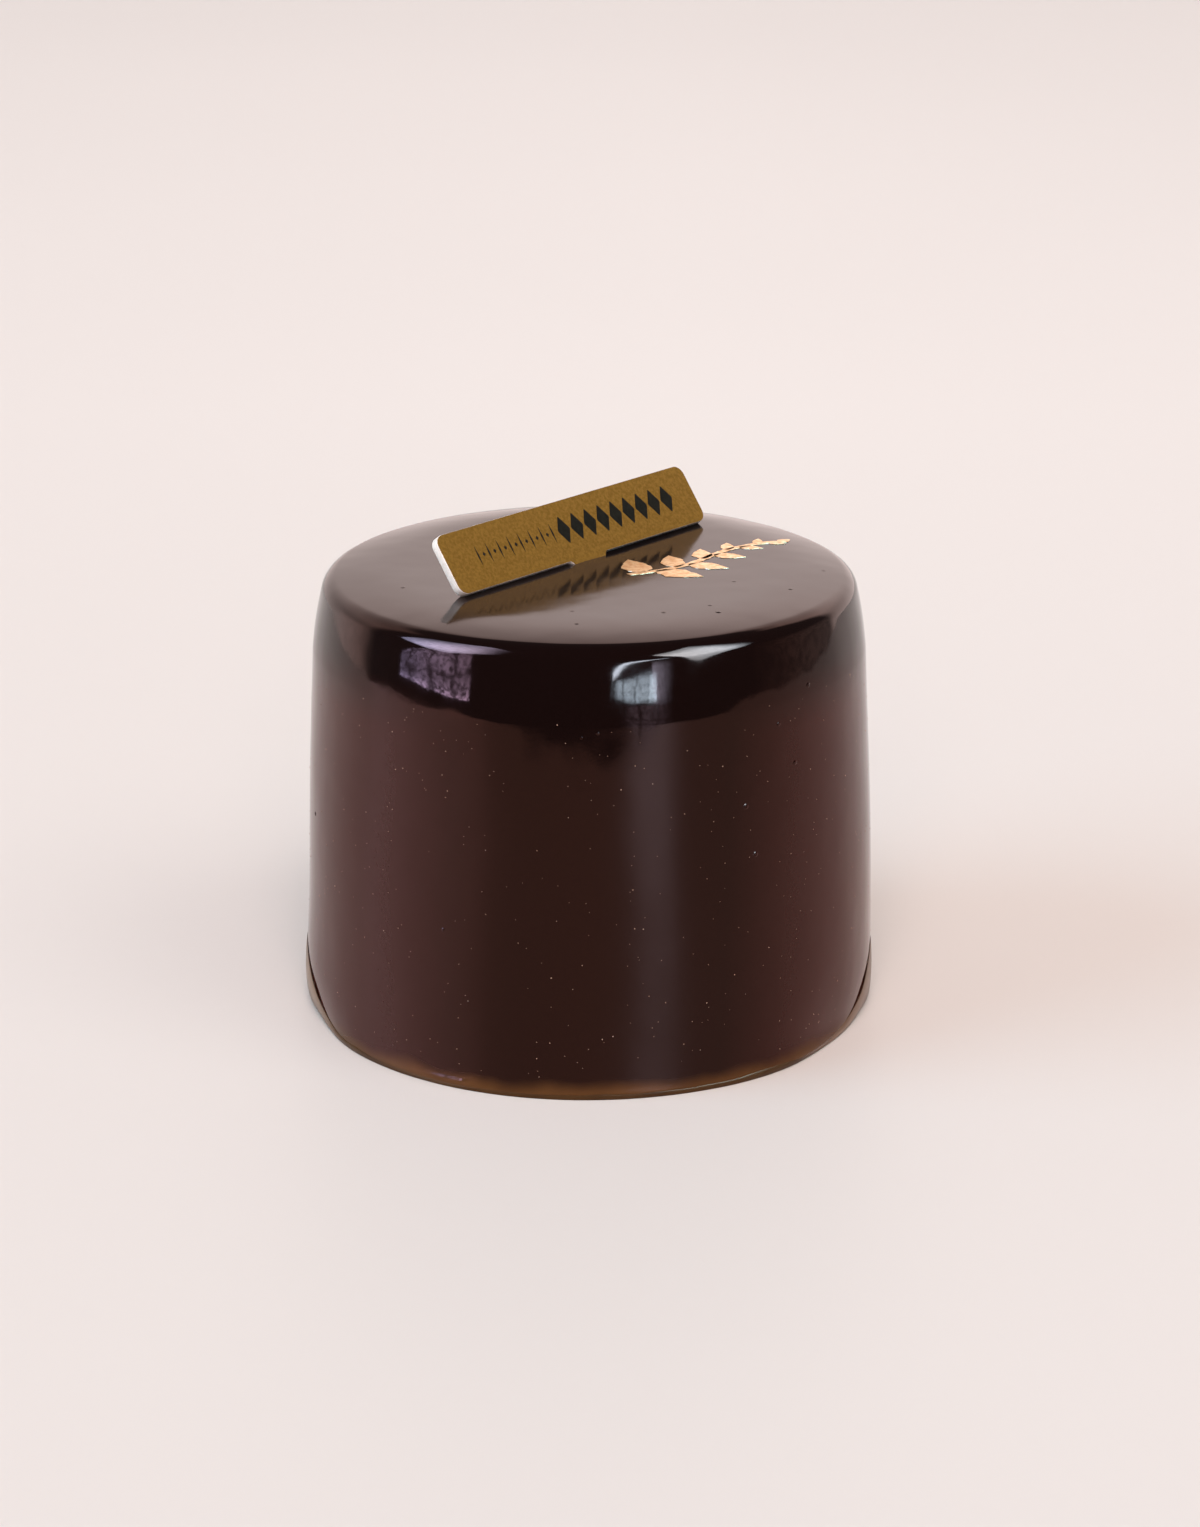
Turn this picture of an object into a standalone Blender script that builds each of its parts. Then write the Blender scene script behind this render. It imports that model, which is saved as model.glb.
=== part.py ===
"""A small round cake under a poured dark glaze, with a gold-faced plaque pushed into its crown.

Run it with: blender --background --python part.py
Metres, +Z up. The origin is the middle of the flat base, and -Y is the front.
"""

import math

import bpy
from mathutils import Matrix, Vector

MM = 0.001
COLLECTION_NAME = "opera_cake"

# The cake's turned profile, from the crown outwards and down
CAKE_HEIGHT = 62.8 * MM
CROWN_FLAT_RADIUS = 26.0 * MM
CROWN_ROLL_RADIUS = 44.0 * MM  # how gently the flat crown starts to fall away
CROWN_EDGE_TILT = math.radians(11.3)
LIP_RADIUS = 2.6 * MM
TAPER_TOP_TILT = math.radians(77.5)  # tilts are of the surface's normal, from straight up
TAPER_FOOT_TILT = math.radians(84.5)
TAPER_HEIGHT = 7.7 * MM
SHOULDER_RADIUS = 15.0 * MM
SIDE_TILT = math.radians(88.1)
FOOT_HEIGHT = 3.2 * MM
FOOT_HOLLOW_RADIUS = 9.0 * MM
FOOT_TILT = math.radians(74.0)
FOOT_BEAD_RADIUS = 0.9 * MM
BEAD_UNDER_TILT = math.radians(160.0)
PROFILE_STEP = math.radians(9.0)
SIDE_RINGS = 9
TAPER_RINGS = 4
AROUND = 96

# How far the poured glaze wanders from a true turned shape
WAVES = (  # waves round the cake, waves up its side, how far out, and where they start
    (3, 1.0, 0.08 * MM, 2.1),
    (5, 1.5, 0.05 * MM, 4.4),
)
BULGES = (  # angle from +X in degrees, height, spread round in degrees, spread up, how far out
    (0, 27 * MM, 35, 15 * MM, 0.25 * MM),
    (182, 5 * MM, 26, 8 * MM, 0.4 * MM),
    (180, 56 * MM, 45, 8 * MM, 0.15 * MM),
    (-33, 0.0, 12, 7 * MM, -0.9 * MM),
)

# The plaque
PLATE_LENGTH = 51.4 * MM
PLATE_HEIGHT = 8.8 * MM
PLATE_THICKNESS = 1.2 * MM
PLATE_CORNER_RADIUS = 1.5 * MM
EDGE_ROUNDING = 0.2 * MM
NECK_FLARE = 0.6 * MM
STEM_WIDTH = 6.4 * MM
STEM_TIP_WIDTH = 2.4 * MM
STEM_DEPTH = 9.0 * MM  # how far the stem runs below the plate
CORNER_STEPS = 6
PLATE_TURN = math.radians(49.2)  # the plate's length, turned from +X
PLATE_LEAN = math.radians(35.8)  # its top edge, leaned away from the front
PLATE_FOOT = Vector((0.0, 2.1 * MM, CAKE_HEIGHT + 0.5 * MM))  # the middle of its lower front edge
SEAT_GAP = 0.3 * MM  # the clearance round the plaque where it is pushed into the cake


def new_material(name, colour, roughness, metallic=0.0):
    material = bpy.data.materials.new(name)
    material.use_nodes = True
    shader = material.node_tree.nodes["Principled BSDF"]
    shader.inputs["Base Color"].default_value = (*colour, 1.0)
    shader.inputs["Roughness"].default_value = roughness
    shader.inputs["Metallic"].default_value = metallic
    return material


def add_object(name, data, collection, material=None):
    made = bpy.data.objects.new(name, data)
    collection.objects.link(made)
    if material:
        made.data.materials.append(material)
    return made


def arc(points, radius, tilt, new_tilt, least_steps=2):
    """Carries the profile on round an arc; a hollow has a negative radius."""
    steps = max(least_steps, math.ceil(abs(new_tilt - tilt) / PROFILE_STEP))
    start_r, start_z = points[-1]
    for i in range(1, steps + 1):
        t = tilt + (new_tilt - tilt) * i / steps
        points.append(
            (
                start_r + radius * (math.sin(t) - math.sin(tilt)),
                start_z - radius * (math.cos(tilt) - math.cos(t)),
            )
        )


def straight(points, drop, tilt, rings):
    """Carries the profile straight down by the drop, leaning out as the tilt says."""
    start_r, start_z = points[-1]
    for i in range(1, rings + 1):
        part = i / rings
        points.append((start_r + drop * part / math.tan(tilt), start_z - drop * part))


def cake_profile():
    """The (radius, height) points from the middle of the crown to the middle of the base."""
    points = [(0.0, CAKE_HEIGHT), (CROWN_FLAT_RADIUS / 2, CAKE_HEIGHT), (CROWN_FLAT_RADIUS, CAKE_HEIGHT)]
    arc(points, CROWN_ROLL_RADIUS, 0.0, CROWN_EDGE_TILT)
    arc(points, LIP_RADIUS, CROWN_EDGE_TILT, TAPER_TOP_TILT)
    taper_radius = TAPER_HEIGHT / (math.cos(TAPER_TOP_TILT) - math.cos(TAPER_FOOT_TILT))
    arc(points, taper_radius, TAPER_TOP_TILT, TAPER_FOOT_TILT, TAPER_RINGS)
    arc(points, SHOULDER_RADIUS, TAPER_FOOT_TILT, SIDE_TILT)
    straight(points, points[-1][1] - FOOT_HEIGHT, SIDE_TILT, SIDE_RINGS)
    arc(points, -FOOT_HOLLOW_RADIUS, SIDE_TILT, FOOT_TILT)
    arc(points, FOOT_BEAD_RADIUS, FOOT_TILT, BEAD_UNDER_TILT)
    bead_r, bead_z = points[-1]
    lift = -bead_z  # the bead's lowest ring is the base
    points = [(r, z + lift * (1 - z / CAKE_HEIGHT)) for r, z in points]
    return points + [(0.0, 0.0)]


def swell(angle, height):
    """How far the glaze stands out from the turned shape at this place."""
    share = height / CAKE_HEIGHT
    out = sum(
        size * math.sin(around * angle + math.tau * up * share + start)
        for around, up, size, start in WAVES
    )
    for middle, level, spread, rise, size in BULGES:
        off = (math.degrees(angle) - middle + 180) % 360 - 180
        out += size * math.exp(-((off / spread) ** 2) - ((height - level) / rise) ** 2)
    return out


def turned_mesh(name, points, steps):
    """A closed mesh from a Screw modifier on the profile."""
    profile = bpy.data.meshes.new(name + "_profile")
    edges = [(i, i + 1) for i in range(len(points) - 1)]
    profile.from_pydata([(r, 0.0, z) for r, z in points], edges, [])
    turned = bpy.data.objects.new(name + "_profile", profile)
    bpy.context.scene.collection.objects.link(turned)
    screw = turned.modifiers.new("turn", "SCREW")
    screw.steps = steps
    screw.render_steps = steps
    screw.use_merge_vertices = True
    screw.merge_threshold = 0.00005
    bpy.context.view_layer.update()
    evaluated = turned.evaluated_get(bpy.context.evaluated_depsgraph_get())
    mesh = bpy.data.meshes.new_from_object(evaluated)
    mesh.name = name
    bpy.data.objects.remove(turned)
    return mesh


def make_cake(collection, material):
    """The whole uncut cake as one solid: crown, lip, side and foot."""
    mesh = turned_mesh("cake", cake_profile(), AROUND)
    for vertex in mesh.vertices:
        x, y, z = vertex.co
        radius = math.hypot(x, y)
        if radius > 0:
            share = min(1.0, radius / CROWN_FLAT_RADIUS) ** 2
            scale = 1 + share * swell(math.atan2(y, x), z) / radius
            vertex.co = (x * scale, y * scale, z)
    mesh.shade_smooth()
    return add_object("cake", mesh, collection, material)


def plaque_outline():
    """The flat outline of plate, neck and stem, anticlockwise, from the stem's tip."""
    half = PLATE_LENGTH / 2
    points = [
        (STEM_TIP_WIDTH / 2, -STEM_DEPTH),
        (STEM_WIDTH / 2, -STEM_DEPTH / 2),
        (STEM_WIDTH / 2, -NECK_FLARE),
        (STEM_WIDTH / 2 + NECK_FLARE, 0.0),
    ]
    r = PLATE_CORNER_RADIUS
    corners = (
        (half - r, r, -90),
        (half - r, PLATE_HEIGHT - r, 0),
        (r - half, PLATE_HEIGHT - r, 90),
        (r - half, r, 180),
    )
    for x, y, first in corners:
        for i in range(CORNER_STEPS + 1):
            turn = math.radians(first + 90 * i / CORNER_STEPS)
            points.append((x + r * math.cos(turn), y + r * math.sin(turn)))
    return points + [(-x, y) for x, y in reversed(points[:4])]


def plaque_placement():
    """Stands the flat outline on its lower edge, leans it back and turns it on the crown."""
    upright = Matrix.Rotation(math.radians(90), 4, "X")
    leaned = Matrix.Rotation(-PLATE_LEAN, 4, "X")
    turned = Matrix.Rotation(PLATE_TURN, 4, "Z")
    behind_face = Matrix.Translation((0.0, 0.0, -PLATE_THICKNESS / 2))
    return Matrix.Translation(PLATE_FOOT) @ turned @ leaned @ upright @ behind_face


def make_plaque(collection, material):
    """The plaque: a rounded plate that narrows to a neck and a stem, all one sheet."""
    curve = bpy.data.curves.new("tag", "CURVE")
    curve.dimensions = "2D"
    curve.fill_mode = "BOTH"
    curve.extrude = PLATE_THICKNESS / 2 - EDGE_ROUNDING
    curve.bevel_depth = EDGE_ROUNDING
    curve.bevel_resolution = 1
    curve.offset = -EDGE_ROUNDING
    outline = plaque_outline()
    spline = curve.splines.new("POLY")
    spline.points.add(len(outline) - 1)
    for point, (x, y) in zip(spline.points, outline):
        point.co = (x, y, 0.0, 1.0)
    spline.use_cyclic_u = True
    plaque = add_object("tag", curve, collection, material)
    plaque.matrix_world = plaque_placement()
    return plaque


def cut_seat(cake, collection, name, size, middle):
    """Cuts a box of this size, given in the plaque's own plane, out of the crown."""
    bpy.ops.mesh.primitive_cube_add(size=1.0)
    cutter = bpy.context.active_object
    cutter.name = name
    cleared = [side + 2 * SEAT_GAP for side in size]
    cutter.data.transform(Matrix.Translation(middle) @ Matrix.Diagonal((*cleared, 1.0)))
    cutter.matrix_world = plaque_placement()
    for other in cutter.users_collection:
        other.objects.unlink(cutter)
    collection.objects.link(cutter)
    cutter.hide_render = True
    cutter.display_type = "WIRE"
    cut = cake.modifiers.new(name, "BOOLEAN")
    cut.operation = "DIFFERENCE"
    cut.object = cutter


def cut_seats(cake, collection):
    """The slit that the stem stands in, and the shallow groove that the plate's lower edge beds into."""
    stem = (STEM_WIDTH, 2 * STEM_DEPTH, PLATE_THICKNESS)
    cut_seat(cake, collection, "stem_cutter", stem, Vector((0.0, 0.0, 0.0)))
    plate = (PLATE_LENGTH, PLATE_HEIGHT, PLATE_THICKNESS)
    cut_seat(cake, collection, "plate_cutter", plate, Vector((0.0, PLATE_HEIGHT / 2, 0.0)))


def new_collection(name):
    made = bpy.data.collections.new(name)
    bpy.context.scene.collection.children.link(made)
    return made


def main():
    for old in list(bpy.data.objects):
        bpy.data.objects.remove(old)
    parts = new_collection(COLLECTION_NAME)
    cutters = new_collection(COLLECTION_NAME + "_cutters")
    glaze = new_material("glaze", (0.022, 0.010, 0.007), 0.08)
    gold_face = new_material("gold_face", (0.42, 0.27, 0.08), 0.35)
    cake = make_cake(parts, glaze)
    make_plaque(parts, gold_face)
    cut_seats(cake, cutters)


main()
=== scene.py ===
"""A small round opera cake: poured mirror glaze, a gold leaf sprig and a gold-faced plaque, on a pale table.

Metres, +Z up. The origin is the middle of the flat base, and -Y is the front.
"""

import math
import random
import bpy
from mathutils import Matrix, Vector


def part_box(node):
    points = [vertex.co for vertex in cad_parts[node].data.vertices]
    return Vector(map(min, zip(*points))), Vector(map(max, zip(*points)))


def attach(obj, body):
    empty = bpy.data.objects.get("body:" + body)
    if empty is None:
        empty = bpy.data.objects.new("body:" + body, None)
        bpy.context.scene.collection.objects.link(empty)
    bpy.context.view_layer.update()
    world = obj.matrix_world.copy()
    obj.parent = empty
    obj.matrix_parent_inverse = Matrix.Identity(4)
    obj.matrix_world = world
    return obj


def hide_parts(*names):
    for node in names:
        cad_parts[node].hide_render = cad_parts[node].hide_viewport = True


bl_info = {
    "name": "Opera cake",
    "version": (1, 0, 0),
    "blender": (4, 5, 0),
    "location": "3D View > Sidebar > Opera cake",
    "description": "Builds the glazed cake, its plaque, its gold leaf and its stage, one operator for each",
    "category": "Add Mesh",
}

import bmesh
import bpy
from bpy.props import FloatProperty, FloatVectorProperty, IntProperty, PointerProperty
from mathutils import Matrix, Vector, noise

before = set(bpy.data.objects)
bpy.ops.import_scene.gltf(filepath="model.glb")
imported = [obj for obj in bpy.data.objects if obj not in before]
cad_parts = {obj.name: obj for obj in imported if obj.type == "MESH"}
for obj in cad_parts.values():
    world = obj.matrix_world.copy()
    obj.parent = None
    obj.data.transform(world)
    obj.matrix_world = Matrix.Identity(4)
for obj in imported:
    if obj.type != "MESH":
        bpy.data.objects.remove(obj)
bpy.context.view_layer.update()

MM = 0.001
BODY = "root"
CAKE_NODE = "cake"
PLAQUE_NODE = "tag"

CAKE_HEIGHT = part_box(CAKE_NODE)[1].z

# ---------------------------------------------------------------- the cake's turned profile
CROWN_RIM_RADII = (19.0 * MM, 22.5 * MM, 26.0 * MM)
CROWN_ROLL_RADIUS = 44.0 * MM  # how gently the flat crown starts to fall away
CROWN_EDGE_TILT = math.radians(11.3)  # a tilt is that of the surface's normal, from straight up
LIP_RADIUS = 2.6 * MM
TAPER_TOP_TILT = math.radians(77.5)
TAPER_FOOT_TILT = math.radians(84.5)
TAPER_HEIGHT = 7.7 * MM
SHOULDER_RADIUS = 15.0 * MM
SIDE_TILT = math.radians(88.1)
FOOT_HEIGHT = 2.0 * MM
FOOT_HOLLOW_RADIUS = 9.0 * MM
FOOT_TILT = math.radians(82.0)
FOOT_BEAD_RADIUS = 0.9 * MM
BEAD_UNDER_TILT = math.radians(160.0)
SIDE_RINGS = 12

# Waves round the cake, waves up its side, how far out, and where they start
WAVES = (
    (3, 1.0, 0.08 * MM, 2.1),
    (5, 1.5, 0.05 * MM, 4.4),
)
# Angle from +X in degrees, height, spread round in degrees, spread up, how far out
BULGES = (
    (-4, 26 * MM, 30, 26 * MM, 0.72 * MM),
    (184, 30 * MM, 28, 25 * MM, 0.4 * MM),
    (182, 5 * MM, 26, 8 * MM, 0.4 * MM),
    (180, 56 * MM, 45, 8 * MM, 0.15 * MM),
    (-33, 0.0, 12, 7 * MM, -0.9 * MM),
    (197, 0.0, 12, 3.0 * MM, -0.95 * MM),
    (-16, 0.0, 11, 3.2 * MM, -0.9 * MM),
)

CROWN_SATIN = 0.055  # how much rougher the level crown set than the side, which drained

# ---------------------------------------------------------------- the plaque, in its own plane
PLATE_LENGTH = 51.4 * MM
PLATE_HEIGHT = 8.8 * MM
PLATE_THICKNESS = 1.2 * MM
PLATE_CORNER_RADIUS = 1.5 * MM
NECK_FLARE = 0.6 * MM
STEM_WIDTH = 6.4 * MM
STEM_TIP_WIDTH = 2.4 * MM
STEM_DEPTH = 9.0 * MM
PLATE_TURN = math.radians(49.2)  # the plate's length, turned from +X
PLATE_LEAN = math.radians(35.8)  # its top edge, leaned away from the front
PLATE_FOOT = Vector((0.0, 2.1 * MM, CAKE_HEIGHT + 0.5 * MM))  # the middle of its lower front edge

# ---------------------------------------------------------------- the set film round the foot
# Where it stands higher: the angle from +X in degrees, the spread round in degrees, the rise in millimetres
FOLDS = ((183, 14.5, 8.6), (-5, 12.0, 8.6), (-38, 16, 1.2), (60, 30, 1.6), (120, 20, 2.4))
FILM_LOW = 0.75 * MM  # how high the film stands between the folds
FILM_HIGH = 4.5 * MM  # where it stands this high it is at its thickest
LEVEL = "level"  # how far up the film a point is, from 0 at the table to 1 at its top
# The film's colour up its level: the dark stops at 0.0 and at 0.955 to 1.0 are painted shade, the contact shadow
# under the film and the shade in the crease where it folds against the side; the beige stops between are the film
# painted as lit through its thin edge
FILM_COLOURS_AND_PAINTED_SHADE = (
    (0.0, "1E120A"),
    (0.05, "6E4E38"),
    (0.4, "8E7058"),
    (0.91, "84664E"),
    (0.955, "2E160C"),
    (1.0, "24120A"),
)

# ---------------------------------------------------------------- where the light comes from
WINDOW_EYE = Vector((0.0, -0.030, 0.057))  # the lip at the front, where the windows are mirrored
CARD_DISTANCE = 1.2


# ================================================================ small tools
def linear(hex_colour):
    """The linear colour, with an alpha of one, of an sRGB hex value."""
    made = []
    for i in (0, 2, 4):
        c = int(hex_colour[i : i + 2], 16) / 255
        made.append(c / 12.92 if c <= 0.04045 else ((c + 0.055) / 1.055) ** 2.4)
    return (*made, 1.0)


def node(tree, kind, inputs=None, links=None, **settings):
    """Adds a node of this kind, with its settings, its input values and its links from other nodes' outputs."""
    made = tree.nodes.new(kind)
    for name, value in settings.items():
        setattr(made, name, value)
    for name, value in (inputs or {}).items():
        made.inputs[name].default_value = value
    for name, source in (links or {}).items():
        tree.links.new(source, made.inputs[name])
    return made


def new_material(name):
    """An empty node material, its tree and its output node."""
    material = bpy.data.materials.new(name)
    material.use_nodes = True
    tree = material.node_tree
    tree.nodes.clear()
    return material, tree


def deselect():
    if bpy.context.mode != "OBJECT":
        bpy.ops.object.mode_set(mode="OBJECT")
    bpy.ops.object.select_all(action="DESELECT")


def edit(piece):
    """Selects this piece alone and goes into its edit mode."""
    deselect()
    bpy.context.view_layer.objects.active = piece
    piece.select_set(True)
    bpy.ops.object.mode_set(mode="EDIT")


def named(name):
    """The active object, under this name."""
    made = bpy.context.active_object
    made.name = name
    made.data.name = name
    return made


def pick(piece, wanted, mode="VERT"):
    """In edit mode, selects only the vertices, edges or faces that the test accepts."""
    bpy.ops.mesh.select_mode(type=mode)
    bpy.ops.mesh.select_all(action="DESELECT")
    shape = bmesh.from_edit_mesh(piece.data)
    parts = {"VERT": shape.verts, "EDGE": shape.edges, "FACE": shape.faces}[mode]
    for part in parts:
        if wanted(part):
            part.select = True
    shape.select_flush_mode()
    bmesh.update_edit_mesh(piece.data)


def middle_of(edge):
    return (edge.verts[0].co + edge.verts[1].co) / 2


def apply_modifier(piece, kind, **settings):
    """Adds a modifier with these settings and applies it."""
    deselect()
    bpy.context.view_layer.objects.active = piece
    piece.select_set(True)
    made = piece.modifiers.new(kind.lower(), kind)
    for name, value in settings.items():
        setattr(made, name, value)
    bpy.ops.object.modifier_apply(modifier=made.name)


def subdivide(piece, levels):
    apply_modifier(piece, "SUBSURF", levels=levels, render_levels=levels)


def outward(piece):
    """Merges doubles and turns every face outwards."""
    edit(piece)
    bpy.ops.mesh.select_all(action="SELECT")
    bpy.ops.mesh.remove_doubles(threshold=0.001 * MM)
    bpy.ops.mesh.normals_make_consistent(inside=False)
    bpy.ops.object.mode_set(mode="OBJECT")


def finish_piece(piece, material, replaces=None, smooth=True):
    """Gives a piece its material, its body and the node that it stands for."""
    deselect()
    piece.data.materials.clear()
    piece.data.materials.append(material)
    if smooth:
        piece.data.shade_smooth()
    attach(piece, BODY)
    if replaces:
        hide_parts(replaces)


def join(pieces, name):
    deselect()
    for piece in pieces:
        piece.select_set(True)
    bpy.context.view_layer.objects.active = pieces[0]
    bpy.ops.object.join()
    return named(name)


def copy_of(piece, placement):
    """A copy with its own mesh, placed by this matrix."""
    made = bpy.data.objects.new(piece.name + "_copy", piece.data.copy())
    bpy.context.scene.collection.objects.link(made)
    made.data.transform(placement)
    return made


def discard(piece):
    bpy.data.meshes.remove(piece.data)


# ================================================================ the glaze's form
def arc(points, radius, tilt, new_tilt, steps):
    """Carries the profile on round an arc; a hollow has a negative radius."""
    start_r, start_z = points[-1]
    for i in range(1, steps + 1):
        t = tilt + (new_tilt - tilt) * i / steps
        r = start_r + radius * (math.sin(t) - math.sin(tilt))
        points.append((r, start_z - radius * (math.cos(tilt) - math.cos(t))))


def glaze_profile():
    """The (radius, height) points of the glaze, from the flat of the crown to the bead under the foot."""
    points = [(r, CAKE_HEIGHT) for r in CROWN_RIM_RADII]
    arc(points, CROWN_ROLL_RADIUS, 0.0, CROWN_EDGE_TILT, 4)
    arc(points, LIP_RADIUS, CROWN_EDGE_TILT, TAPER_TOP_TILT, 8)
    taper_radius = TAPER_HEIGHT / (math.cos(TAPER_TOP_TILT) - math.cos(TAPER_FOOT_TILT))
    arc(points, taper_radius, TAPER_TOP_TILT, TAPER_FOOT_TILT, 5)
    arc(points, SHOULDER_RADIUS, TAPER_FOOT_TILT, SIDE_TILT, 2)
    start_r, start_z = points[-1]
    for i in range(1, SIDE_RINGS + 1):
        drop = (start_z - FOOT_HEIGHT) * i / SIDE_RINGS
        points.append((start_r + drop / math.tan(SIDE_TILT), start_z - drop))
    arc(points, -FOOT_HOLLOW_RADIUS, SIDE_TILT, FOOT_TILT, 3)
    arc(points, FOOT_BEAD_RADIUS, FOOT_TILT, BEAD_UNDER_TILT, 5)
    lift = -points[-1][1]  # the bead's lowest ring is the base
    return [(r, z + lift * (1 - z / CAKE_HEIGHT)) for r, z in points]


def swell(angle, height):
    """How far the glaze stands out from the turned shape at this place."""
    share = height / CAKE_HEIGHT
    out = 0.0
    for around, up, size, start in WAVES:
        out += size * math.sin(around * angle + math.tau * up * share + start)
    for middle, level, spread, rise, size in BULGES:
        off = (math.degrees(angle) - middle + 180) % 360 - 180
        out += size * math.exp(-((off / spread) ** 2) - ((height - level) / rise) ** 2)
    return out


def swollen(place):
    """A point of the turned shape, moved out or in as the glaze wanders."""
    radius = math.hypot(place.x, place.y)
    if radius < 0.01 * MM:
        return place.copy()
    share = min(1.0, radius / CROWN_RIM_RADII[-1]) ** 2
    scale = 1 + share * swell(math.atan2(place.y, place.x), place.z) / radius
    return Vector((place.x * scale, place.y * scale, place.z))


def side_spot(angle, height):
    """The point and the outward direction of the glaze at this angle from +X and this height."""
    profile = glaze_profile()
    for (r0, z0), (r1, z1) in zip(profile, profile[1:]):
        if z1 <= height <= z0 and z0 > z1:
            part = (z0 - height) / (z0 - z1)
            r = r0 + (r1 - r0) * part
            out = Vector((z0 - z1, r1 - r0)).normalized()
            place = swollen(Vector((r * math.cos(angle), r * math.sin(angle), height)))
            return place, Vector((out.x * math.cos(angle), out.x * math.sin(angle), out.y))
    raise RuntimeError("the glaze has no side at this height")


# ================================================================ materials
def glaze_material(foot):
    """Cocoa mirror glaze, poured warm and set with gelatine.

    A near-black red-brown body under a wet, mirror-smooth skin. Where it runs thin over the foot, light
    passes it and it turns amber. Below the lip, where the side is seen at a slant, a reddish glow is painted
    into the body's colour.
    """
    material, tree = new_material("cocoa_mirror_glaze")
    place = node(tree, "ShaderNodeTexCoord")
    height = node(tree, "ShaderNodeSeparateXYZ", links={"Vector": place.outputs["Object"]})
    wander = node(
        tree,
        "ShaderNodeTexNoise",
        inputs={"Scale": 110.0, "Detail": 2.0},
        links={"Vector": place.outputs["Object"]},
    )
    lowered = node(
        tree,
        "ShaderNodeMath",
        operation="MULTIPLY_ADD",
        inputs={1: -3.0 * MM, 2: 1.5 * MM},
        links={0: wander.outputs["Fac"]},
    )
    level = node(
        tree,
        "ShaderNodeMath",
        operation="ADD",
        links={0: height.outputs["Z"], 1: lowered.outputs[0]},
    )
    thin = node(
        tree,
        "ShaderNodeMapRange",
        interpolation_type="SMOOTHSTEP",
        inputs={"From Min": foot.amber_height, "From Max": 0.5 * MM, "To Min": 0.0, "To Max": 1.0},
        links={"Value": level.outputs[0]},
    )
    # Painted glow: below the lip, where the side is seen at a slant, the near-black body is lifted towards
    # red-brown (4A201B), standing in for warm light that the side mirrors
    slant = node(tree, "ShaderNodeLayerWeight", inputs={"Blend": 0.5})
    thickness_and_slant_glow = node(
        tree,
        "ShaderNodeMapRange",
        inputs={"From Min": 0.18, "From Max": 0.8, "To Min": 0.0, "To Max": 1.0},
        links={"Value": slant.outputs["Facing"]},
    )
    below_lip = node(
        tree,
        "ShaderNodeMapRange",
        inputs={"From Min": 55.0 * MM, "From Max": 48.0 * MM, "To Min": 0.0, "To Max": 1.0},
        links={"Value": height.outputs["Z"]},
    )
    glow = node(
        tree,
        "ShaderNodeMath",
        operation="MULTIPLY",
        links={0: thickness_and_slant_glow.outputs[0], 1: below_lip.outputs[0]},
    )
    dark = node(
        tree,
        "ShaderNodeMix",
        data_type="RGBA",
        inputs={6: linear("0C0606"), 7: linear("4A201B")},
        links={0: glow.outputs[0]},
    )
    body = node(
        tree,
        "ShaderNodeMix",
        data_type="RGBA",
        inputs={7: linear("50361C")},
        links={0: thin.outputs[0], 6: dark.outputs[2]},
    )
    film = node(
        tree,
        "ShaderNodeTexNoise",
        inputs={"Scale": 320.0, "Detail": 3.0},
        links={"Vector": place.outputs["Object"]},
    )
    roughness = node(
        tree,
        "ShaderNodeMapRange",
        inputs={"From Min": 0.3, "From Max": 0.7, "To Min": 0.04, "To Max": 0.075},
        links={"Value": film.outputs["Fac"]},
    )
    flat = node(
        tree,
        "ShaderNodeVectorMath",
        operation="MULTIPLY",
        inputs={1: (1.0, 1.0, 0.0)},
        links={0: place.outputs["Object"]},
    )
    reach = node(tree, "ShaderNodeVectorMath", operation="LENGTH", links={0: flat.outputs[0]})
    settled = node(
        tree,
        "ShaderNodeMapRange",
        inputs={"From Min": 35.5 * MM, "From Max": 32.0 * MM, "To Min": 0.0, "To Max": CROWN_SATIN},
        links={"Value": reach.outputs["Value"]},
    )
    satin = node(
        tree,
        "ShaderNodeMath",
        operation="ADD",
        links={0: roughness.outputs[0], 1: settled.outputs[0]},
    )
    skin = node(
        tree,
        "ShaderNodeTexNoise",
        inputs={"Scale": 400.0, "Detail": 3.0},
        links={"Vector": place.outputs["Object"]},
    )
    bump = node(
        tree,
        "ShaderNodeBump",
        inputs={"Strength": 0.22, "Distance": 0.03 * MM},
        links={"Height": skin.outputs["Fac"]},
    )
    shader = node(
        tree,
        "ShaderNodeBsdfPrincipled",
        inputs={"IOR": 1.40, "Specular Tint": linear("F7A98F")},
        links={
            "Base Color": body.outputs[2],
            "Roughness": satin.outputs[0],
            "Normal": bump.outputs[0],
        },
    )
    node(tree, "ShaderNodeOutputMaterial", links={"Surface": shader.outputs[0]})
    return material


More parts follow.
